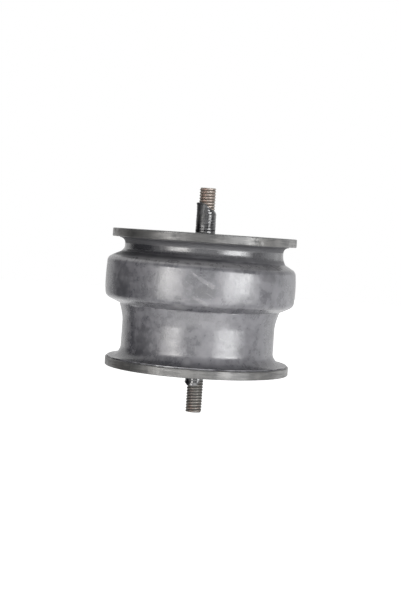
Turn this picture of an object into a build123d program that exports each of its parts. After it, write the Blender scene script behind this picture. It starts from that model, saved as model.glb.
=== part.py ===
# Rubber engine mount: a moulded rubber body bonded between two round steel plates,
# with a threaded stud standing out of each plate and a torn rubber skin round each stud's root.
# Millimetres. Origin at the centre of the lower plate's seating face, +Z up the stud axis.

from build123d import *
from math import cos, pi, radians, sin, tan
import os

# Steel plates
PLATE_DIAMETER = 90.0
PLATE_THICKNESS = 4.0
PLATE_EDGE_BREAK = 0.25
SEAT_TO_SEAT = 66.6

# Threaded studs, modelled at the thread's major diameter
THREAD_DIAMETER = 7.94
THREAD_TIP_CHAMFER = 0.3
THREAD_COVERED_STEP = 0.2
UPPER_STUD_REACH = 22.2
LOWER_STUD_REACH = 21.2

# Round head behind each plate, and the serrated neck that is pressed into the plate
HEAD_DIAMETER = 18.0
HEAD_THICKNESS = 3.2
HEAD_EDGE_CHAMFER = 0.8
NECK_STEP = 0.93
SERRATION_COUNT = 24
SERRATION_DEPTH = 0.35
COUNTERSINK_DEPTH = 0.6

# Torn rubber skins: each tear is a line of (share of the skin's radius, height above the plate)
SKIN_WALL = 0.85
SKIN_LIP_FLARE = 0.3
SKIN_LIP_HEIGHT = 1.2
UPPER_SKIN_TEAR = [(-1.0, 14.8), (-0.62, 14.9), (0.0, 13.9), (0.12, 12.7), (0.82, 11.4), (1.0, 10.8)]
LOWER_SKIN_TEAR = [(-1.0, 6.7), (-0.78, 7.6), (-0.32, 7.9), (0.2, 7.4), (0.55, 5.5), (1.0, 4.7)]

# Rubber body, from the upper plate down: insets and overhangs are measured from the plates' rim
THROAT_INSET = 6.3
LIP_REACH = 2.7
LIP_THICKNESS = 0.4
NECK_TOP_FLARE = 1.5
NECK_HEIGHT = 7.0
NECK_DRAFT = 0.8
SHOULDER_SLOPE = 31.0
BAND_OVERHANG = 1.45
BAND_HEIGHT = 18.3
BAND_CORNER_RADIUS = 3.0
UNDERCUT_SLOPE = 24.0
WAIST_INSET = 7.6
WAIST_FLARE = 1.8
WAIST_TAPER_HEIGHT = 5.8
FOOT_LEDGE = 0.7
SKIRT_MARGIN = 1.0
SKIRT_THICKNESS = 0.7

# Heights of the plates' inner faces
RUBBER_TOP = SEAT_TO_SEAT - PLATE_THICKNESS
RUBBER_BASE = PLATE_THICKNESS

# Radius of the pressed neck between the thread and the head
NECK_RADIUS = THREAD_DIAMETER / 2 + NECK_STEP


def serrated_neck():
    """The neck's coarse straight knurl, a star of fine teeth as deep as the plate's straight hole."""
    root = NECK_RADIUS - SERRATION_DEPTH
    points = []
    for i in range(SERRATION_COUNT):
        tooth_angle = 2 * pi * i / SERRATION_COUNT
        gap_angle = tooth_angle + pi / SERRATION_COUNT
        points.append((NECK_RADIUS * cos(tooth_angle), NECK_RADIUS * sin(tooth_angle)))
        points.append((root * cos(gap_angle), root * sin(gap_angle)))
    outline = make_face(Polyline(*points, close=True))
    return Pos(0, 0, -PLATE_THICKNESS) * extrude(outline, PLATE_THICKNESS - COUNTERSINK_DEPTH)


def countersink():
    """The shallow cone at the plate's seating face that the skin's foot fills."""
    return Cone(
        bottom_radius=NECK_RADIUS,
        top_radius=NECK_RADIUS + COUNTERSINK_DEPTH,
        height=COUNTERSINK_DEPTH,
        align=(Align.CENTER, Align.CENTER, Align.MAX),
    )


def plate():
    """A plain steel disc with its seating face at Z = 0 and its bonded face below."""
    disc = Cylinder(
        PLATE_DIAMETER / 2, PLATE_THICKNESS, align=(Align.CENTER, Align.CENTER, Align.MAX)
    )
    rims = disc.edges().filter_by(GeomType.CIRCLE)
    disc = chamfer(rims, PLATE_EDGE_BREAK)
    return disc - serrated_neck() - countersink()


def stud(reach, covered):
    """A stud seen from its plate's seating face at Z = 0, thread up, head behind the plate.

    Where the skin covers it the thread is full of rubber, so that stretch is a step smaller.
    """
    major = THREAD_DIAMETER / 2
    profile = Polyline(
        (0, -COUNTERSINK_DEPTH),
        (major - THREAD_COVERED_STEP, -COUNTERSINK_DEPTH),
        (major - THREAD_COVERED_STEP, covered),
        (major, covered),
        (major, reach - THREAD_TIP_CHAMFER),
        (major - THREAD_TIP_CHAMFER, reach),
        (0, reach),
        close=True,
    )
    thread = revolve(make_face(Plane.XZ * profile), Axis.Z)
    head = Cylinder(
        HEAD_DIAMETER / 2, HEAD_THICKNESS, align=(Align.CENTER, Align.CENTER, Align.MAX)
    )
    buried_rim = head.edges().filter_by(GeomType.CIRCLE).sort_by(Axis.Z)[0]
    head = chamfer(buried_rim, HEAD_EDGE_CHAMFER)
    return thread + serrated_neck() + Pos(0, 0, -PLATE_THICKNESS) * head


def skin(tear, bare_stud):
    """A thin torn tube of rubber round the stud's root, with its foot in the plate's countersink."""
    bore = THREAD_DIAMETER / 2
    outer = bore + SKIN_WALL
    top = max(height for share, height in tear)
    profile = Polyline(
        (0, 0),
        (outer, 0),
        (outer, top - SKIN_LIP_HEIGHT),
        (outer + SKIN_LIP_FLARE, top),
        (0, top),
        close=True,
    )
    tube = revolve(make_face(Plane.XZ * profile), Axis.Z) + countersink()
    reach = outer + SKIN_LIP_FLARE
    edge = [(share * reach, height) for share, height in tear]
    clear = top + reach
    above = make_face(Plane.XZ * Polyline(*edge, (reach, clear), (-reach, clear), close=True))
    torn_away = extrude(above, 2 * reach, both=True)
    return tube - torn_away - bare_stud


def rubber_outline():
    """Half of the body's section, from the centre of its top to the centre of its base."""
    rim = PLATE_DIAMETER / 2
    throat = rim - THROAT_INSET
    neck_base = throat + NECK_DRAFT
    band = rim + BAND_OVERHANG
    waist = rim - WAIST_INSET
    waist_top = waist + WAIST_FLARE
    skirt = rim - SKIRT_MARGIN
    lip_z = RUBBER_TOP - LIP_THICKNESS
    shoulder_z = RUBBER_TOP - NECK_HEIGHT
    band_top_z = shoulder_z - (band - neck_base) * tan(radians(SHOULDER_SLOPE))
    band_base_z = band_top_z - BAND_HEIGHT
    waist_top_z = band_base_z - (band - waist_top) * tan(radians(UNDERCUT_SLOPE))
    skirt_z = RUBBER_BASE + SKIRT_THICKNESS
    corners = [
        ((throat + LIP_REACH, RUBBER_TOP), 0),
        ((throat + LIP_REACH, lip_z), 0),
        ((throat + NECK_TOP_FLARE, lip_z), 0),
        ((throat, lip_z - NECK_TOP_FLARE), 0),
        ((neck_base, shoulder_z), 0),
        ((band, band_top_z), BAND_CORNER_RADIUS),
        ((band, band_base_z), BAND_CORNER_RADIUS),
        ((waist_top, waist_top_z), 0),
        ((waist, waist_top_z - WAIST_TAPER_HEIGHT), 0),
        ((waist, skirt_z), skirt - waist - FOOT_LEDGE),
        ((skirt, skirt_z), 0),
        ((skirt, RUBBER_BASE), 0),
    ]
    points = [(0, RUBBER_TOP)] + [point for point, radius in corners] + [(0, RUBBER_BASE)]
    radii = [radius for point, radius in corners]
    return FilletPolyline(*points, radius=radii) + Line((0, RUBBER_BASE), (0, RUBBER_TOP))


def rubber_body(studs):
    """The one-piece moulding, with a pocket round the head of each stud."""
    blank = revolve(make_face(Plane.XZ * rubber_outline()), Axis.Z)
    for buried in studs:
        blank = blank - buried
    return blank


# The upper end is built standing on its plate, the lower end is the same turned over about X
UPPER_END = Pos(0, 0, SEAT_TO_SEAT)
LOWER_END = Rot(180, 0, 0)

upper_stud = UPPER_END * stud(UPPER_STUD_REACH, max(height for share, height in UPPER_SKIN_TEAR))
lower_stud = LOWER_END * stud(LOWER_STUD_REACH, max(height for share, height in LOWER_SKIN_TEAR))

parts = {
    "upper_plate": UPPER_END * plate(),
    "lower_plate": LOWER_END * plate(),
    "upper_stud": upper_stud,
    "lower_stud": lower_stud,
    "rubber_body": rubber_body([upper_stud, lower_stud]),
    "upper_stud_skin": UPPER_END * skin(UPPER_SKIN_TEAR, UPPER_END.inverse() * upper_stud),
    "lower_stud_skin": LOWER_END * skin(LOWER_SKIN_TEAR, LOWER_END.inverse() * lower_stud),
}

os.makedirs("parts", exist_ok=True)
for name, part in parts.items():
    part.label = name
    export_step(part, f"parts/{name}.step")
    print(name, len(part.solids()), "solid,", round(part.volume), "mm3")
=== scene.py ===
# %% [markdown]
# # A bonded rubber engine mount
# Two round steel plates with a moulded rubber body between them, and a threaded stud on each side.
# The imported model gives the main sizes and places. This script adds what a photograph shows:
# satin rubber with scuffs, dull steel rims, rusty rolled threads and torn glossy rubber skins.

# %% Load the frame
from math import cos, degrees, pi, radians, sin, sqrt, tan

import bpy
from mathutils import Matrix, Vector, noise


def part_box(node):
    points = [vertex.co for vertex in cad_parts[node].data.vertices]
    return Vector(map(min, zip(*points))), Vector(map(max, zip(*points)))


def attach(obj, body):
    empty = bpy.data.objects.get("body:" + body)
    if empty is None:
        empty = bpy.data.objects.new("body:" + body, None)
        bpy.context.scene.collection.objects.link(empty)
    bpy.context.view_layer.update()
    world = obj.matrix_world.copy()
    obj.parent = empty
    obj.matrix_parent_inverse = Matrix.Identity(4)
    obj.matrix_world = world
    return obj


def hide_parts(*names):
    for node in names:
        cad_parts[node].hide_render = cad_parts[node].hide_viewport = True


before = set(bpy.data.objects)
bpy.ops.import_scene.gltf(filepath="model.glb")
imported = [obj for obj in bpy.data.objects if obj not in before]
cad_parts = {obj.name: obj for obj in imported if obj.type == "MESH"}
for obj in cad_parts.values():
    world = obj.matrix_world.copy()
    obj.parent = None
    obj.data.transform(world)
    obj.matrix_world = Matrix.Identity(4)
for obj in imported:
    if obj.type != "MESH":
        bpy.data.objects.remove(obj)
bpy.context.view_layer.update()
print("nodes:", sorted(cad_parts))

# %% [markdown]
# ## Sizes
# The boxes of the plates and studs give the radius, the seating faces and the tips, so these match exactly.
# All lengths are in metres, and MM turns a size that is easier to read in millimetres into metres.

# %% Sizes taken from the frame
MM = 0.001
lower_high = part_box("lower_plate")[1]
upper_low, upper_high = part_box("upper_plate")
plate_radius = lower_high.x
rubber_base = lower_high.z
rubber_top = upper_low.z
upper_seat = upper_high.z
upper_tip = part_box("upper_stud")[1].z
lower_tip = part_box("lower_stud")[0].z
thread_radius = 3.97 * MM
head_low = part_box("lower_stud")[1].z
head_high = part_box("upper_stud")[0].z
head_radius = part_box("upper_stud")[1].x
print("plate radius", round(plate_radius / MM, 2), "mm, seat to seat", round(upper_seat / MM, 2), "mm")

# %% [markdown]
# ## Turned shapes
# Everything here is round, so one helper turns a section about Z into a mesh.
# The section is a list of (radius, height) points from one end of the axis to the other.
# A bend function may then move each point a little, which gives dents, leaning and wear that a lathe can't.


# %% Turn a section into a mesh
def turned(name, section, segments, bend=None):
    """A closed mesh made by turning section about Z. Points on the axis become one vertex."""
    verts, rings, faces = [], [], []
    for radius, height in section:
        if radius <= 0:
            rings.append([len(verts)])
            verts.append((0, 0, height))
            continue
        ring = []
        for i in range(segments):
            angle = 2 * pi * i / segments
            r, z, side = (radius, height, 0) if bend is None else bend(radius, height, angle)
            ring.append(len(verts))
            verts.append((r * sin(angle) + side, -r * cos(angle), z))
        rings.append(ring)
    for above, below in zip(rings, rings[1:]):
        for i in range(segments):
            j = (i + 1) % segments
            left = [above[i % len(above)], below[i % len(below)]]
            right = [below[j % len(below)], above[j % len(above)]]
            corners = list(dict.fromkeys(left + right))
            if len(corners) > 2:
                faces.append(corners)
    return piece_from(name, verts, faces)


def piece_from(name, verts, faces, crease=40):
    """An object from vertices and faces, smooth except where faces meet at more than crease degrees."""
    mesh = bpy.data.meshes.new(name)
    mesh.from_pydata(verts, [], faces)
    mesh.polygons.foreach_set("use_smooth", [True] * len(faces))
    mesh.set_sharp_from_angle(angle=radians(crease))
    mesh.validate()
    piece = bpy.data.objects.new(name, mesh)
    bpy.context.scene.collection.objects.link(piece)
    print(name, len(verts), "vertices", len(faces), "faces")
    return piece


# %% [markdown]
# A moulded section is straight runs joined by round corners. The next helper walks the corners
# and replaces each with an arc of its own radius, then fills the runs with evenly spaced points.


# %% Round the corners of a section
def rounded(corners, spacing):
    """Points along a path of ((radius, height), corner radius) pairs, each corner turned into an arc."""
    path = [Vector(corners[0][0])]
    for (before, _), (here, bend_radius), (after, _) in zip(corners, corners[1:], corners[2:]):
        corner, back, ahead = Vector(here), Vector(before) - Vector(here), Vector(after) - Vector(here)
        back.normalize()
        ahead.normalize()
        half = back.angle(ahead) / 2
        if bend_radius == 0:
            path.append(corner)
            continue
        centre = corner + (back + ahead).normalized() * bend_radius / sin(half)
        start = corner + back * bend_radius / tan(half) - centre
        sweep = pi - 2 * half
        turn = 1 if start.x * back.y - start.y * back.x < 0 else -1
        steps = max(4, int(bend_radius * sweep / spacing))
        for k in range(steps + 1):
            a = turn * sweep * k / steps
            spin = Vector((start.x * cos(a) - start.y * sin(a), start.x * sin(a) + start.y * cos(a)))
            path.append(centre + spin)
    path.append(Vector(corners[-1][0]))
    filled = [path[0]]
    for a, b in zip(path, path[1:]):
        count = max(1, int((b - a).length / spacing))
        filled += [a.lerp(b, (k + 1) / count) for k in range(count)]
    return [(p.x, p.y) for p in filled]


def smooth_step(low, high, x):
    """0 below low, 1 above high, and a smooth rise between."""
    t = min(1.0, max(0.0, (x - low) / (high - low)))
    return t * t * (3 - 2 * t)


# %% [markdown]
# ## The rubber body
# The body is one moulding: a short neck under the upper plate, a wide band with a barrelled side,
# a waist, and a foot that flares into a thin skirt. Its section follows the solid's, and adds
# the barrelled side and the hollow fillets that the solid leaves out.
# A hand-made mould is never quite round, so the band sits a little to one side,
# its shoulder is higher on that side, and low, broad dents break up the reflections.

# %% The body's section, in millimetres
LIP_RADIUS, LIP_THICKNESS = 41.4, 0.4
THROAT_RADIUS = 38.6
NECK_BASE = (38.9, 55.4)
BAND_TOP = (46.1, 51.6)
BAND_MIDDLE = (46.75, 42.4)
BAND_BASE = (46.1, 33.6)
WAIST_TOP = (39.2, 30.4)
WAIST_RADIUS = 37.4
WAIST_TAPER_END = 24.1
SKIRT_RADIUS, SKIRT_THICKNESS = 44.0, 0.7

top_mm, base_mm = rubber_top / MM, rubber_base / MM
body_corners = [
    ((LIP_RADIUS, top_mm), 0),
    ((LIP_RADIUS, top_mm - LIP_THICKNESS), 0),
    ((THROAT_RADIUS, top_mm - LIP_THICKNESS), 2.7),
    (NECK_BASE, 4.4),
    (BAND_TOP, 3.2),
    (BAND_MIDDLE, 85.0),
    (BAND_BASE, 3.6),
    (WAIST_TOP, 1.2),
    ((WAIST_RADIUS, WAIST_TAPER_END), 18.0),
    ((WAIST_RADIUS, base_mm + SKIRT_THICKNESS), 5.5),
    ((SKIRT_RADIUS, base_mm + SKIRT_THICKNESS), 0),
    ((SKIRT_RADIUS, base_mm), 0),
]
BODY_SPACING = 0.36
outside = [(r * MM, z * MM) for r, z in rounded(body_corners, BODY_SPACING)]
body_section = [(0, head_high), (head_radius, head_high), (head_radius, rubber_top)]
body_section += outside
body_section += [(head_radius, rubber_base), (head_radius, head_low), (0, head_low)]
print("body section points:", len(body_section))

# %% Bend the moulding out of true
BAND_SHIFT, WAIST_SHIFT = -0.6 * MM, -0.32 * MM
SHOULDER_LEAN = 0.85 * MM
BROAD_DENT, BROAD_SIZE = 0.16 * MM, 13 * MM
FINE_DENT, FINE_SIZE = 0.035 * MM, 3.0 * MM
SKIRT_RAGGED = 0.35 * MM
CREASES = [(30.6, 0.42, 0.30), (54.7, 0.30, 0.45)]
CREASE_WAVE, CREASE_WAVE_SIZE = 0.55 * MM, 9 * MM


# Heights in mm where each zone begins, is whole, begins to end and has ended
BAND_ZONE, WAIST_ZONE, SHOULDER_ZONE = (31, 34, 52, 56), (5, 10, 31, 34), (46, 51, 55, 58)


def within(zone, height):
    """1 inside a zone of heights and 0 outside it, with a smooth change between."""
    begins, whole, fades, ends = zone
    return smooth_step(begins, whole, height) * (1 - smooth_step(fades, ends, height))


def mould_bend(radius, height, angle):
    """Moves one point of the body: the band to one side, its shoulder up there, and dents all over."""
    inside_the_rubber = radius < 1.1 * head_radius
    if inside_the_rubber:
        return radius, height, 0
    z_mm = height / MM
    at_lip = height >= rubber_top - LIP_THICKNESS * MM
    at_skirt = height <= rubber_base + SKIRT_THICKNESS * MM
    lift = -sin(angle) * SHOULDER_LEAN * within(SHOULDER_ZONE, z_mm)
    shift = BAND_SHIFT * within(BAND_ZONE, z_mm) + WAIST_SHIFT * within(WAIST_ZONE, z_mm)
    place = Vector((radius * sin(angle), -radius * cos(angle), height))
    dent = BROAD_DENT * noise.noise(place / BROAD_SIZE) + FINE_DENT * noise.noise(place / FINE_SIZE)
    for crease_z, depth, width in CREASES:
        wave = CREASE_WAVE * noise.noise(place.xy.to_3d() / CREASE_WAVE_SIZE) / MM
        uneven = 0.65 + 0.7 * noise.noise(place / (4 * MM))
        dent -= depth * MM * uneven / (1 + ((z_mm - crease_z - wave) / width) ** 4)
    if at_lip or at_skirt:
        dent = 0
    if at_skirt and radius > 0.97 * SKIRT_RADIUS * MM:
        dent = SKIRT_RAGGED * (noise.fractal(place / (5 * MM), 1.0, 2.0, 3) - 0.3)
    return radius + dent, height + lift, shift


BODY_SEGMENTS = 300
moulded_body = turned("moulded_body", body_section, BODY_SEGMENTS, mould_bend)

# %% [markdown]
# ## The plates
# Each plate is a disc that was cut and tumbled: its edges are broken by a small bevel, and knocks
# have left shallow nicks along them. The rim gets rings of points so that the nicks are real shape.

# %% Make a plate
EDGE_BREAK = 0.25 * MM
NICK_DEPTH, NICK_SIZE = 0.22 * MM, 4 * MM
RIM_WAVE, RIM_WAVE_SIZE = 0.06 * MM, 12 * MM
PLATE_SEGMENTS = 360
RIM_ROWS = 8
HOLE_RADIUS, HOLE_MOUTH = 4.9 * MM, 5.5 * MM
COUNTERSINK = 0.6 * MM


def plate_bend(seed):
    """Wear for one plate's rim: slow waves all round and sharp nicks near its edges."""

    def bend(radius, height, angle):
        rim = smooth_step(plate_radius - 3 * MM, plate_radius - 0.5 * MM, radius)
        if rim == 0:
            return radius, height, 0
        place = Vector((radius * sin(angle), -radius * cos(angle), height + seed))
        wave = RIM_WAVE * noise.noise(place / RIM_WAVE_SIZE)
        knock = smooth_step(0.35, 0.75, noise.noise(place / NICK_SIZE))
        return radius + rim * (wave - NICK_DEPTH * knock), height, 0

    return bend


def make_plate(name, seat, inner, seed):
    """A disc between the heights seat and inner, open at the middle for the stud's neck."""
    way = 1 if seat > inner else -1
    rim = [(plate_radius, seat + (inner - seat) * k / RIM_ROWS) for k in range(1, RIM_ROWS)]
    section = [(HOLE_RADIUS, seat - way * COUNTERSINK), (HOLE_MOUTH, seat)]
    section += [(plate_radius * k / 12, seat) for k in range(3, 12)]
    section += [(plate_radius - EDGE_BREAK, seat), (plate_radius, seat - way * EDGE_BREAK)]
    section += rim
    section += [(plate_radius, inner + way * EDGE_BREAK), (plate_radius - EDGE_BREAK, inner)]
    section += [(plate_radius * 11 / 12, inner), (HOLE_RADIUS, inner)]
    section.append((HOLE_RADIUS, seat - way * COUNTERSINK))
    if way < 0:
        section.reverse()
    return turned(name, section, PLATE_SEGMENTS, plate_bend(seed))


upper_disc = make_plate("upper_disc", upper_seat, rubber_top, 0.0)
lower_disc = make_plate("lower_disc", 0.0, rubber_base, 0.3)

# %% [markdown]
# ## The studs
# A rolled thread is a V groove that climbs round the shank. On a fine grid, the radius at each point
# follows from how far that point is along the climbing groove, so one formula makes the whole thread.

# %% Make a stud
PITCH = 25.4 / 18 * MM
THREAD_DEPTH = 0.27 * PITCH
CREST_SHARE, ROOT_SHARE = 0.30, 0.16
THREAD_SEGMENTS = 72
ROWS_PER_PITCH = 18
TIP_CHAMFER = 0.3 * MM
CREST_WEAR, CREST_WEAR_SIZE = 0.05 * MM, 0.9 * MM


def thread_height(turns):
    """How far the thread stands up at a place along its groove, from 0 at the root to 1 at the crest."""
    along = turns % 1.0
    from_crest = abs(along - 0.5) * 2
    flank = 1 - CREST_SHARE - ROOT_SHARE
    return min(1.0, max(0.0, (1 - ROOT_SHARE - from_crest) / flank))


def make_stud(name, seat, tip, inner, head):
    """A stud from its buried head to its tip, with a right-hand thread outside the plate."""
    way = 1 if tip > seat else -1
    root_end = seat - way * COUNTERSINK
    length = abs(tip - root_end)
    rows = int(length / PITCH * ROWS_PER_PITCH)
    section = [(0, tip)]
    for k in range(rows + 1):
        height = tip + (root_end - tip) * k / rows
        from_tip = abs(height - tip)
        section.append((thread_radius - max(0.0, TIP_CHAMFER - from_tip), height))
    section += [(HOLE_RADIUS, root_end), (HOLE_RADIUS, inner), (head_radius, inner)]
    section += [(head_radius, head + way * MM), (head_radius - MM, head), (0, head)]

    def cut_thread(radius, height, angle):
        outside_plate = (height - root_end) * way > 0 and radius <= thread_radius
        if not outside_plate:
            return radius, height, 0
        turns = height / PITCH - angle / (2 * pi)
        cut = THREAD_DEPTH * (1 - thread_height(turns))
        fade = smooth_step(0, 0.8 * MM, abs(height - root_end))
        place = Vector((radius * sin(angle), -radius * cos(angle), height))
        worn = CREST_WEAR * max(0.0, noise.noise(place / CREST_WEAR_SIZE))
        deep = thread_radius - cut * fade
        return min(radius, deep) - worn, height, 0

    if way < 0:
        section.reverse()
    return turned(name, section, THREAD_SEGMENTS, cut_thread)


upper_threads = make_stud("upper_threads", upper_seat, upper_tip, rubber_top, head_high)
lower_threads = make_stud("lower_threads", 0.0, lower_tip, rubber_base, head_low)

# %% [markdown]
# ## The torn skins
# Rubber crept out round the studs in the mould and was torn back, which leaves a thin tube
# with a ragged end. The thread under it shows through as ripples. Each tube is a grid that goes
# up the outside and down the inside, and its top edge follows the tear round the stud.

# %% Make a skin
SKIN_WALL = 0.85 * MM
SKIN_FLARE = 0.3 * MM
RIPPLE = 0.036 * MM
TEAR_JAG, TEAR_JAG_SIZE = 0.45 * MM, 1.1 * MM
SKIN_LUMP, SKIN_LUMP_SIZE = 0.16 * MM, 2.8 * MM
# How far the skin reaches into the groove, how its torn edge thins, and how its foot spreads
SKIN_BITE, EDGE_FEATHER, EDGE_ROLL = 0.55, 1.4 * MM, 0.1 * MM
FOOT_HEIGHT, FOOT_SPREAD = 0.5 * MM, 0.25 * MM
SKIN_SEGMENTS = 96
SKIN_ROWS = 120
UPPER_TEAR = [(-1.0, 14.8), (-0.62, 14.9), (0.0, 13.9), (0.12, 12.7), (0.82, 11.4), (1.0, 10.8)]
LOWER_TEAR = [(-1.0, 6.7), (-0.78, 7.6), (-0.32, 7.9), (0.2, 7.4), (0.55, 5.5), (1.0, 4.7)]


def tear_height(tear, share):
    """The height of the torn edge, in metres, at a share of the radius from left to right."""
    for (x0, h0), (x1, h1) in zip(tear, tear[1:]):
        if share <= x1:
            return (h0 + (h1 - h0) * (share - x0) / (x1 - x0)) * MM
    return tear[-1][1] * MM


def make_skin(name, tear, seat, way, ripple, wall_by_side):
    """A torn tube standing way from the plate's seating face at seat."""
    verts, faces = [], []
    inner = thread_radius - SKIN_BITE * THREAD_DEPTH
    reach = thread_radius + SKIN_WALL + SKIN_FLARE
    columns = []
    for i in range(SKIN_SEGMENTS):
        angle = 2 * pi * i / SKIN_SEGMENTS
        across, front = sin(angle), -cos(angle)
        edge_place = Vector((across, front, seat * 10)) * reach / TEAR_JAG_SIZE
        edge = tear_height(tear, across) + TEAR_JAG * noise.noise(edge_place)
        wall = SKIN_WALL * (1 + wall_by_side * across)
        column = []
        for k in range(SKIN_ROWS + 1):
            up = edge * k / SKIN_ROWS
            place = Vector((across * reach, front * reach, seat + way * up))
            turns = place.z / PITCH - angle / (2 * pi)
            lump = SKIN_LUMP * noise.noise(place / SKIN_LUMP_SIZE)
            wave = ripple * cos(2 * pi * (turns - 0.5))
            near_edge = smooth_step(edge - EDGE_FEATHER, edge, up)
            flare = SKIN_FLARE * near_edge * max(0.0, -across)
            feather = 0.55 * near_edge * max(0.0, across + 0.3)
            r = thread_radius + wall * (1 - feather) + wave + lump + flare
            foot = max(0.0, 1 - up / FOOT_HEIGHT)
            column.append((r + FOOT_SPREAD * foot * foot, up))
        column.append((inner, edge - EDGE_ROLL))
        column.append((inner, 0.0))
        columns.append([(r * across, r * front, seat + way * up) for r, up in column])
    count = len(columns[0])
    for column in columns:
        verts += column
    for i in range(SKIN_SEGMENTS):
        j = (i + 1) % SKIN_SEGMENTS
        for k in range(count):
            m = (k + 1) % count
            face = [i * count + k, j * count + k, j * count + m, i * count + m]
            faces.append(face if way > 0 else face[::-1])
    return piece_from(name, verts, faces, crease=60)


upper_skin = make_skin("upper_skin", UPPER_TEAR, upper_seat, 1, RIPPLE, 0.0)
lower_skin = make_skin("lower_skin", LOWER_TEAR, 0.0, -1, 0.6 * RIPPLE, -0.25)

# %% Let the pieces stand for the solids
standing_for = {
    moulded_body: "rubber_body",
    upper_disc: "upper_plate",
    lower_disc: "lower_plate",
    upper_threads: "upper_stud",
    lower_threads: "lower_stud",
    upper_skin: "upper_stud_skin",
    lower_skin: "lower_stud_skin",
}
for piece, node in standing_for.items():
    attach(piece, "root")
    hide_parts(node)
print("pieces:", [piece.name for piece in standing_for])

# %% [markdown]
# ## Shader maths in plain Python
# A finish mixes many masks, and drawing those by hand as nodes is slow to read.
# This class wraps one output socket, so that a sum on it adds the Math node.


# %% A socket that does sums
class Wire:
    """One output of a material's nodes. Sums on it add Math nodes, and node() adds any other kind."""

    def __init__(self, tree, socket):
        self.tree = tree
        self.socket = socket

    def node(self, kind, settings, inputs, out=0):
        """Adds a node: its settings first, then the values or wires of its sockets. Returns one output."""
        made = self.tree.nodes.new("ShaderNode" + kind)
        for name, value in settings.items():
            if name == "stops":
                ramp = made.color_ramp.elements
                while len(ramp) < len(value):
                    ramp.new(0.5)
                for stop, (place, colour) in zip(ramp, value):
                    stop.position = place
                    stop.color = colour
            else:
                setattr(made, name, value)
        for name, value in inputs.items():
            if isinstance(value, Wire):
                self.tree.links.new(value.socket, made.inputs[name])
            else:
                made.inputs[name].default_value = value
        return Wire(self.tree, made.outputs[out])

    def sums(self, operation, *terms):
        return self.node("Math", {"operation": operation}, dict(enumerate(terms)))

    def __add__(self, other):
        return self.sums("ADD", self, other)

    def __radd__(self, other):
        return self.sums("ADD", other, self)

    def __sub__(self, other):
        return self.sums("SUBTRACT", self, other)

    def __rsub__(self, other):
        return self.sums("SUBTRACT", other, self)

    def __mul__(self, other):
        return self.sums("MULTIPLY", self, other)

    def __rmul__(self, other):
        return self.sums("MULTIPLY", other, self)

    def __truediv__(self, other):
        return self.sums("DIVIDE", self, other)

    def __abs__(self):
        return self.sums("ABSOLUTE", self)

    def rise(self, low, high):
        """0 where the wire is below low, 1 above high, smooth between. Swap the two for a fall."""
        settings = {"interpolation_type": "SMOOTHSTEP", "clamp": True}
        turned_over = low > high
        ends = (high, low, 1.0, 0.0) if turned_over else (low, high, 0.0, 1.0)
        sockets = ("From Min", "From Max", "To Min", "To Max")
        return self.node("MapRange", settings, {"Value": self, **dict(zip(sockets, ends))})

    def mix(self, first, second):
        """The colour first where this wire is 0 and second where it is 1."""
        inputs = {0: self, 6: first, 7: second}
        return self.node("Mix", {"data_type": "RGBA", "clamp_factor": True}, inputs, out=2)


# %% Start a finish
def colour(red, green, blue):
    return (red, green, blue, 1.0)


def start_finish(name):
    """A new material. Returns it, its main shader, and the place on the object in millimetres as a wire."""
    material = bpy.data.materials.new(name)
    material.use_nodes = True
    tree = material.node_tree
    shader = tree.nodes["Principled BSDF"]
    place = Wire(tree, tree.nodes.new("ShaderNodeTexCoord").outputs["Object"])
    in_mm = place.node("VectorMath", {"operation": "SCALE"}, {0: place, "Scale": 1 / MM})
    return material, shader, in_mm


def grain(place, size, detail=3.0, stretch=(1, 1, 1), rough=0.55):
    """Noise from about 0.2 to 0.8 with features of size millimetres. A small stretch makes them longer."""
    scaled = place.node("VectorMath", {"operation": "MULTIPLY"}, {0: place, 1: stretch})
    inputs = {"Vector": scaled, "Scale": 1 / size, "Detail": detail, "Roughness": rough}
    return place.node("TexNoise", {}, inputs)


def around(place):
    """The angle round the axis in degrees, 0 in front and positive to the right, and the height in mm."""
    split = place.node("SeparateXYZ", {}, {0: place})
    parts = split.socket.node.outputs
    x, y, z = (Wire(place.tree, parts[k]) for k in range(3))
    angle = x.sums("ARCTAN2", x, y * -1.0) * degrees(1)
    return angle, z


def finish_with(material, shader, sockets):
    """Feeds the main shader's sockets and returns the material."""
    for name, value in sockets.items():
        if isinstance(value, Wire):
            material.node_tree.links.new(value.socket, shader.inputs[name])
        else:
            shader.inputs[name].default_value = value
    return material


# %% [markdown]
# ## Satin rubber
# Moulded rubber is nearly black, with a grey bloom that has come out of it and been rubbed off in places.
# Its sheen is broad. Scuffs are paler and duller than the rest. A few long ones are placed one by one,
# as a line in angle and height; the small ones come from noise.


# %% Marks on the rubber
BODY_RADIUS_MM = 46.0
ARC_PER_DEGREE = BODY_RADIUS_MM * radians(1)


def streak(angle, height, start, end, width, wobble, flare=0.0):
    """A mask for a rubbed line from start to end, both (degrees, mm), width mm wide with ragged sides.

    It widens by flare mm for each mm along it.
    """
    x0, x1 = start[0] * ARC_PER_DEGREE, end[0] * ARC_PER_DEGREE
    dx, dz = x1 - x0, end[1] - start[1]
    length = sqrt(dx * dx + dz * dz)
    dx, dz = dx / length, dz / length
    right = angle * ARC_PER_DEGREE - x0
    up = height - start[1]
    along = right * dx + up * dz
    across = abs(up * dx - right * dz) + wobble - along * flare
    ends = along.rise(-0.5, 1.0) * along.rise(length + 0.5, length - 1.0)
    return across.rise(width, 0.25 * width) * ends


def patch(angle, height, centre, size, wobble):
    """A mask for a ragged oval: centre is (degrees, mm) and size its half width and half height in mm."""
    right = (angle - centre[0]) * (ARC_PER_DEGREE / size[0])
    up = (height - centre[1]) * (1 / size[1])
    squared = right * right + up * up
    away = squared.sums("SQRT", squared)
    return (away + wobble).rise(1.1, 0.5)


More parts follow.
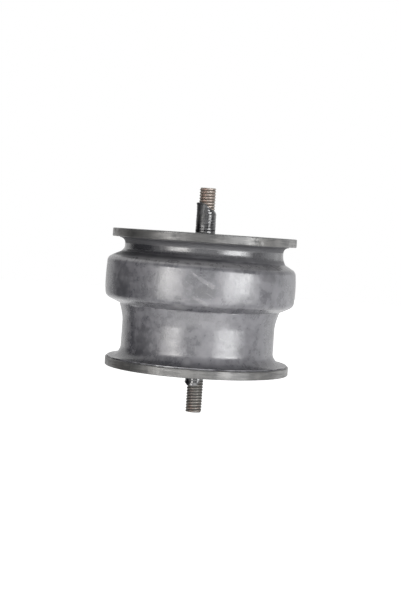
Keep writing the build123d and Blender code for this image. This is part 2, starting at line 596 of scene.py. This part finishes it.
def rubber_finish():
    material, shader, place = start_finish("satin_rubber")
    angle, height = around(place)
    cloud = grain(place, 14, 4.0)
    mottle = grain(place, 4.0, 4.0, rough=0.65)
    speckle = grain(place, 1.1, 3.0)
    fine = grain(place, 0.35, 2.0)
    upright = grain(place, 2.4, 3.0, (1, 1, 0.16))
    ragged = (speckle - 0.5) * 1.6

    long_streak = streak(angle, height, (-5.8, 48.2), (7.6, 42.2), 0.7, ragged * 1.3, 0.07)
    low_streak = streak(angle, height, (-5.0, 37.6), (5.0, 34.0), 0.9, ragged * 1.3, 0.06)
    crease_rub = patch(angle, height, (-12.5, 32.0), (4.4, 2.0), ragged * 0.4)
    foot_rub = patch(angle, height, (-7.0, 6.4), (3.2, 2.4), ragged * 0.4)
    step_mark = streak(angle, height, (-1.6, 14.6), (-1.4, 11.9), 0.4, ragged * 0.2)
    dark_patch = patch(angle, height, (2.6, 40.0), (6.5, 4.4), ragged * 0.5)
    dark_spots = patch(angle, height, (-4.0, 35.4), (4.6, 0.9), ragged * 0.9)
    stain = patch(angle, height, (-44.0, 14.0), (9.0, 8.0), (mottle - 0.5) * 2.5)
    # Painted shade: the left side of the band is darkened in colour where little light reaches it.
    left_painted_shade = patch(angle, height, (-52.0, 41.0), (8.0, 11.0), (mottle - 0.5) * 2.5)
    right_stain = patch(angle, height, (42.0, 47.6), (7.0, 2.6), (mottle - 0.5) * 2.5)
    graze = patch(angle, height, (1.0, 43.0), (12.0, 10.0), ragged * 0.3)
    rubs = long_streak * 0.7 + low_streak * 0.6 + (crease_rub + foot_rub) * 0.6 + step_mark * 0.5
    arc = angle * ARC_PER_DEGREE
    along_scuff, across_scuff = arc * 0.86 - height * 0.51, arc * 0.51 + height * 0.86
    scuff_place = arc.node("CombineXYZ", {}, {0: along_scuff * 0.10, 1: across_scuff})
    scuffs = grain(scuff_place, 1.3, 3.0).rise(0.58, 0.70) * (graze * 0.9 + crease_rub + foot_rub)

    bloom = (cloud.rise(0.34, 0.66) * 0.55 + mottle.rise(0.4, 0.65) * 0.45).rise(0.0, 1.0)
    # Real stains, together with the painted shade on the band's left side.
    stains_and_shade = (dark_patch + dark_spots + stain * 0.8 + left_painted_shade * 0.7 + right_stain * 0.8).rise(0.0, 1.4)
    grit = (fine.rise(0.55, 0.72) * speckle.rise(0.48, 0.62)) * (graze * 0.9 + 0.35)
    # Near the upper plate the rubber is darker: fresh rubber without bloom, and painted shade under the
    # plate's overhang.
    fresh_and_shaded = height.rise(53.4, 55.2)
    sooty = height.rise(59.2, 60.2) * 2.0 + height.rise(53.4, 54.2) * height.rise(56.4, 55.4)
    # Painted light: a paler strip under the band stands in for light reflected up from below.
    underside_painted_light = height.rise(31.0, 32.0) * height.rise(34.8, 33.4)
    dusty = height.rise(50.9, 52.2) * height.rise(54.6, 53.0)
    bloomed = bloom.mix(colour(0.036, 0.036, 0.041), colour(0.080, 0.079, 0.086))
    dust = dusty * (mottle.rise(0.35, 0.65) * 0.4 + 0.6)
    dulled = dust.mix(bloomed, colour(0.145, 0.143, 0.148))
    base = (fresh_and_shaded * 0.85).mix(dulled, colour(0.012, 0.012, 0.014))
    stained_and_shaded = (stains_and_shade * 0.75).mix(base, colour(0.022, 0.022, 0.025))
    # The pale chalk mixes real rubs, grit and scuffs with the painted light under the band.
    chalk_and_underlight = (rubs * 0.35 + grit * 0.35 + scuffs * 0.25 + underside_painted_light * 0.12).rise(0.0, 1.0)
    chalky_and_underlit = chalk_and_underlight.mix(stained_and_shaded, colour(0.30, 0.295, 0.30))

    uneven = (mottle - 0.5) * 0.18 + (speckle - 0.5) * 0.14 + (upright - 0.5) * 0.16
    dulled_by = rubs * 0.08 + stains_and_shade * 0.10 + graze * 0.05 + sooty * 0.22
    roughness = bloom * 0.06 + 0.27 + uneven + dulled_by - fresh_and_shaded * 0.05
    relief = speckle * 0.5 + fine * 0.25 + mottle * 0.9 + upright * 0.35 + rubs * 0.3
    inputs = {"Height": relief, "Strength": 0.5, "Distance": 0.12 * MM}
    normal = place.node("Bump", {}, inputs)
    sockets = {"Base Color": chalky_and_underlit, "Roughness": roughness, "Normal": normal, "Specular IOR Level": 0.55}
    return finish_with(material, shader, sockets)


# %% [markdown]
# ## Dull plate steel
# The discs were stamped from hot-rolled sheet and oiled. The rim is a sheared edge, so its streaks run
# round it and fine lines cross it. Handling has polished some stretches. A black smear darkens a stretch of
# the lower rim, and painted shade darkens two stretches of the upper rim, on the left and at the front.


# %% The plates' finish
def plate_finish(name, seed, seat, smears_and_shaded_stretches):
    """Sheet steel with its own stains by seed. A dark line runs along the seating edge, at seat mm.

    The last argument lists dark stretches of the rim as (angle, half width), both in degrees:
    painted shade on the upper plate, a black smear on the lower plate.
    """
    material, shader, place = start_finish(name)
    angle, height = around(place)
    moved = place.node("VectorMath", {"operation": "ADD"}, {0: place, 1: (seed, seed, 0)})
    stain = grain(moved, 12, 4.0, (1, 1, 0.4))
    streaks = grain(moved, 2.0, 4.0, (0.22, 0.22, 2.6))
    speckle = grain(moved, 0.6, 3.0)
    worn = (stain + (streaks - 0.5) * 0.8).rise(0.36, 0.64)
    dirt = (grain(moved, 4.5, 4.0) + (speckle - 0.5) * 0.3).rise(0.56, 0.68)
    edge_line = abs(height - seat).rise(0.55, 0.2)
    steel = worn.mix(colour(0.024, 0.0236, 0.023), colour(0.074, 0.0725, 0.070))
    aged = (speckle.rise(0.5, 0.75) * 0.4).mix(steel, colour(0.030, 0.029, 0.028))
    dirt_smear_and_shade = (dirt * 0.6 + edge_line * 0.6).rise(0.0, 1.0).mix(aged, colour(0.016, 0.016, 0.017))
    # Each listed stretch is darkened: painted shade on the upper rim, a real smear on the lower rim.
    for middle, half in smears_and_shaded_stretches:
        smear_and_shade = abs(angle - middle + (streaks - 0.5) * 16.0).rise(half, 0.4 * half)
        dirt_smear_and_shade = (smear_and_shade * 0.7).mix(dirt_smear_and_shade, colour(0.012, 0.012, 0.012))
        worn = worn - smear_and_shade * 1.5
    roughness = 0.41 - worn * 0.06 + dirt * 0.14 + (speckle - 0.5) * 0.14
    metallic = 0.10 - dirt * 0.08
    relief = streaks * 0.6 + speckle * 0.5
    normal = place.node("Bump", {}, {"Height": relief, "Strength": 0.4, "Distance": 0.1 * MM})
    sockets = {"Base Color": dirt_smear_and_shade, "Roughness": roughness, "Metallic": metallic, "Normal": normal}
    return finish_with(material, shader, sockets)


# %% [markdown]
# ## Rusty thread
# The crests are rubbed to a tan metal and the roots hold brown rust and black dirt. How far a point
# is from the axis tells crest from root, so the finish measures that instead of following the thread.


# %% The studs' finish
def thread_finish(name, crest_colour, root_colour, rust_colour, dark_from, dark_to):
    """Thread steel that darkens from the height dark_from to dark_to, both in millimetres."""
    material, shader, place = start_finish(name)
    angle, height = around(place)
    flat = place.node("VectorMath", {"operation": "MULTIPLY"}, {0: place, 1: (1, 1, 0)})
    radius = place.node("VectorMath", {"operation": "LENGTH"}, {0: flat}, out="Value")
    crest = radius.rise(3.62, 3.90)
    speckle = grain(place, 0.4, 3.0)
    rust = grain(place, 2.2, 4.0)
    brown_side = abs(angle + 24.0).rise(24.0, 8.0)
    rusty = (rust.rise(0.42, 0.62) * 0.5 + brown_side * 0.5).rise(0.0, 1.0)
    crests = rusty.mix(crest_colour, rust_colour)
    surface = (crest * 0.9 + (speckle - 0.5) * 0.5).rise(0.1, 0.85).mix(root_colour, crests)
    grime = height.rise(dark_from, dark_to) * ((rust - 0.5) * 0.8 + 0.75)
    coloured = (grime * 0.8).mix(surface, colour(0.035, 0.034, 0.032))
    roughness = 0.55 - crest * 0.14 + (speckle - 0.5) * 0.25
    metallic = 0.2 + crest * 0.3
    normal = place.node("Bump", {}, {"Height": speckle, "Strength": 0.3, "Distance": 0.08 * MM})
    sockets = {"Base Color": coloured, "Roughness": roughness, "Metallic": metallic, "Normal": normal}
    return finish_with(material, shader, sockets)


# %% [markdown]
# ## Glossy torn skin
# The skin is fresh rubber that was pressed against a polished mould, so it is blacker and glossier
# than the body. Dust makes a few dull spots.


# %% The skins' finish
def skin_finish():
    material, shader, place = start_finish("torn_skin")
    speckle = grain(place, 0.5, 3.0)
    dust = grain(place, 2.0, 4.0).rise(0.5, 0.7)
    base = (dust * 0.5).mix(colour(0.004, 0.004, 0.005), colour(0.050, 0.050, 0.055))
    angle, height = around(place)
    dull = angle.rise(6.0, -8.0) * height.rise(69.6, 72.0)
    roughness = 0.17 + dust * 0.12 + dull * 0.26 + (speckle - 0.5) * 0.08
    normal = place.node("Bump", {}, {"Height": speckle, "Strength": 0.2, "Distance": 0.05 * MM})
    sockets = {"Base Color": base, "Roughness": roughness, "Normal": normal, "Specular IOR Level": 0.6}
    return finish_with(material, shader, sockets)


# %% Paint the pieces
TAN_CREST, GREY_CREST = colour(0.22, 0.190, 0.168), colour(0.090, 0.085, 0.076)
UPPER_RUST, LOWER_RUST = colour(0.145, 0.100, 0.082), colour(0.070, 0.048, 0.040)
UPPER_ROOT, LOWER_ROOT = colour(0.062, 0.050, 0.040), colour(0.014, 0.012, 0.011)
# Dark stretches of the rims: painted shade on the upper plate, on the left and at the front; a black smear
# on the lower plate.
UPPER_PAINTED_SHADE, LOWER_OILY = [(-42.0, 18.0), (-1.0, 12.0)], [(-43.0, 15.0)]
upper_steel = plate_finish("upper_plate_steel", 0.0, upper_seat / MM, UPPER_PAINTED_SHADE)
lower_steel = plate_finish("lower_plate_steel", 37.0, 0.0, LOWER_OILY)
upper_rusty = thread_finish("upper_thread_steel", TAN_CREST, UPPER_ROOT, UPPER_RUST, 79.0, 70.0)
lower_rusty = thread_finish("lower_thread_steel", GREY_CREST, LOWER_ROOT, LOWER_RUST, -20.0, -8.0)
finishes = {
    moulded_body: (rubber_finish(), "body_rubber"),
    upper_disc: (upper_steel, "plate_steel"),
    lower_disc: (lower_steel, "plate_steel"),
    upper_threads: (upper_rusty, "stud_steel"),
    lower_threads: (lower_rusty, "stud_steel"),
    upper_skin: (skin_finish(), "skin_rubber"),
    lower_skin: (skin_finish(), "skin_rubber"),
}
for piece, (material, slot) in finishes.items():
    piece.data.materials.append(material)
print("finishes:", sorted({material.name for material, slot in finishes.values()}))

# %% [markdown]
# ## Stage, light and camera
# The photograph is a cut-out on white, so the floor is far below the part and the part hangs free.
# Two softboxes stand at the front left and the front right. Their reflections are the two upright
# highlights on the rubber. The other lamps fill in weakly from the front, the side, above and below.

# %% The pale floor and the white room
FLOOR_DROP = 0.25
FLOOR_HALF = 6.0
floor_mesh = bpy.data.meshes.new("floor")
ROUND_THE_FLOOR = ((-1, -1), (1, -1), (1, 1), (-1, 1))
corners = [(FLOOR_HALF * x, FLOOR_HALF * y, -FLOOR_DROP) for x, y in ROUND_THE_FLOOR]
floor_mesh.from_pydata(corners, [], [(0, 1, 2, 3)])
floor = bpy.data.objects.new("floor", floor_mesh)
bpy.context.scene.collection.objects.link(floor)


def seen_directly(tree):
    """1 for rays from the camera, from a mirror or through glass, and 0 for light that falls on things."""
    path = tree.nodes.new("ShaderNodeLightPath")
    camera, glossy, through = (
        Wire(tree, path.outputs[kind])
        for kind in ("Is Camera Ray", "Is Glossy Ray", "Is Transmission Ray")
    )
    return camera.sums("MAXIMUM", camera, camera.sums("MAXIMUM", glossy, through))


floor_material = bpy.data.materials.new("pale_floor")
floor_material.use_nodes = True
floor_tree = floor_material.node_tree
floor_shader = floor_tree.nodes["Principled BSDF"]
floor_shader.inputs["Base Color"].default_value = colour(0.80, 0.80, 0.80)
floor_shader.inputs["Roughness"].default_value = 0.9
floor_shader.inputs["Emission Color"].default_value = colour(1, 1, 1)
FLOOR_GLOW = 0.92
glow = seen_directly(floor_tree) * FLOOR_GLOW
floor_tree.links.new(glow.socket, floor_shader.inputs["Emission Strength"])
floor.data.materials.append(floor_material)

AMBIENT = 0.25
world = bpy.data.worlds.new("white_room")
bpy.context.scene.world = world
world.use_nodes = True
world_tree = world.node_tree
backdrop = world_tree.nodes["Background"]
backdrop.inputs["Color"].default_value = colour(1, 1, 1)
strength = seen_directly(world_tree) * (1 - AMBIENT) + AMBIENT
world_tree.links.new(strength.socket, backdrop.inputs["Strength"])


# %% The softboxes
def softbox(name, azimuth, distance, height, width, tall, power, tint):
    """An upright area lamp at azimuth degrees to the right of the camera, aimed at the body's middle."""
    lamp = bpy.data.lights.new(name, "AREA")
    lamp.shape = "RECTANGLE"
    lamp.size, lamp.size_y = width, tall
    lamp.energy = power
    lamp.color = tint
    light = bpy.data.objects.new(name, lamp)
    bpy.context.scene.collection.objects.link(light)
    side = radians(azimuth)
    light.location = (distance * sin(side), -distance * cos(side), height)
    aim = Vector((0, 0, AIM_HEIGHT)) - light.location
    light.rotation_euler = aim.to_track_quat("-Z", "Y").to_euler()
    light.visible_camera = False


AIM_HEIGHT = 0.04
softbox("left_softbox", -36, 1.0, 0.07, 0.46, 0.34, 7.2, (1.0, 0.985, 0.965))
softbox("right_softbox", 45, 1.0, 0.07, 0.66, 0.34, 12.1, (0.99, 0.995, 1.0))
softbox("front_fill", -2, 1.4, 0.15, 0.9, 0.6, 2.4, (0.98, 0.985, 1.0))
softbox("right_fill", 115, 1.1, 0.05, 0.8, 0.5, 1.2, (0.97, 0.98, 1.0))
softbox("top_panel", 180, 0.35, 1.1, 0.9, 0.7, 8.0, (0.98, 0.985, 1.0))
softbox("table_bounce", 0, 0.36, -0.24, 0.8, 0.4, 3.2, (1.0, 0.995, 0.985))

# %% A black card keeps the left side of the rubber dark
CARD_AZIMUTH, CARD_DISTANCE, CARD_HALF, CARD_REACH = radians(-100), 0.45, 0.22, 0.24
card_mesh = bpy.data.meshes.new("black_card")
towards_card = Vector((sin(CARD_AZIMUTH), -cos(CARD_AZIMUTH), 0))
card_centre = towards_card * CARD_DISTANCE + Vector((0, 0, AIM_HEIGHT))
sideways = Vector((cos(CARD_AZIMUTH), sin(CARD_AZIMUTH), 0)) * CARD_HALF
tall = Vector((0, 0, CARD_REACH))
card_corners = [card_centre + sideways * a + tall * b for a, b in ((-1, -1), (1, -1), (1, 1), (-1, 1))]
card_mesh.from_pydata(card_corners, [], [(0, 1, 2, 3)])
card = bpy.data.objects.new("black_card", card_mesh)
bpy.context.scene.collection.objects.link(card)
card_material = bpy.data.materials.new("black_felt")
card_material.use_nodes = True
felt = card_material.node_tree.nodes["Principled BSDF"]
felt.inputs["Base Color"].default_value = colour(0.01, 0.01, 0.01)
felt.inputs["Roughness"].default_value = 1.0
felt.inputs["Specular IOR Level"].default_value = 0.0
card_mesh.materials.append(card_material)
card.visible_camera = False

# %% The camera
EYE = Vector((0.0016, -0.664, 0.0689))
YAW, PITCH_DOWN, ROLL = radians(0.145), radians(3.033), radians(3.856)
LENS, SENSOR = 81.2, 36.0
across = Vector((cos(YAW), sin(YAW), 0))
forward = Vector((-sin(YAW) * cos(PITCH_DOWN), cos(YAW) * cos(PITCH_DOWN), -sin(PITCH_DOWN)))
upward = across.cross(forward)
cam_right = across * cos(ROLL) + upward * sin(ROLL)
cam_up = upward * cos(ROLL) - across * sin(ROLL)
camera_data = bpy.data.cameras.new("camera")
camera_data.lens = LENS
camera_data.sensor_width = SENSOR
camera = bpy.data.objects.new("camera", camera_data)
bpy.context.scene.collection.objects.link(camera)
axes = Matrix((cam_right, cam_up, -forward)).transposed().to_4x4()
camera.matrix_world = Matrix.Translation(EYE) @ axes
bpy.context.scene.camera = camera
bpy.context.scene.view_settings.view_transform = "Standard"
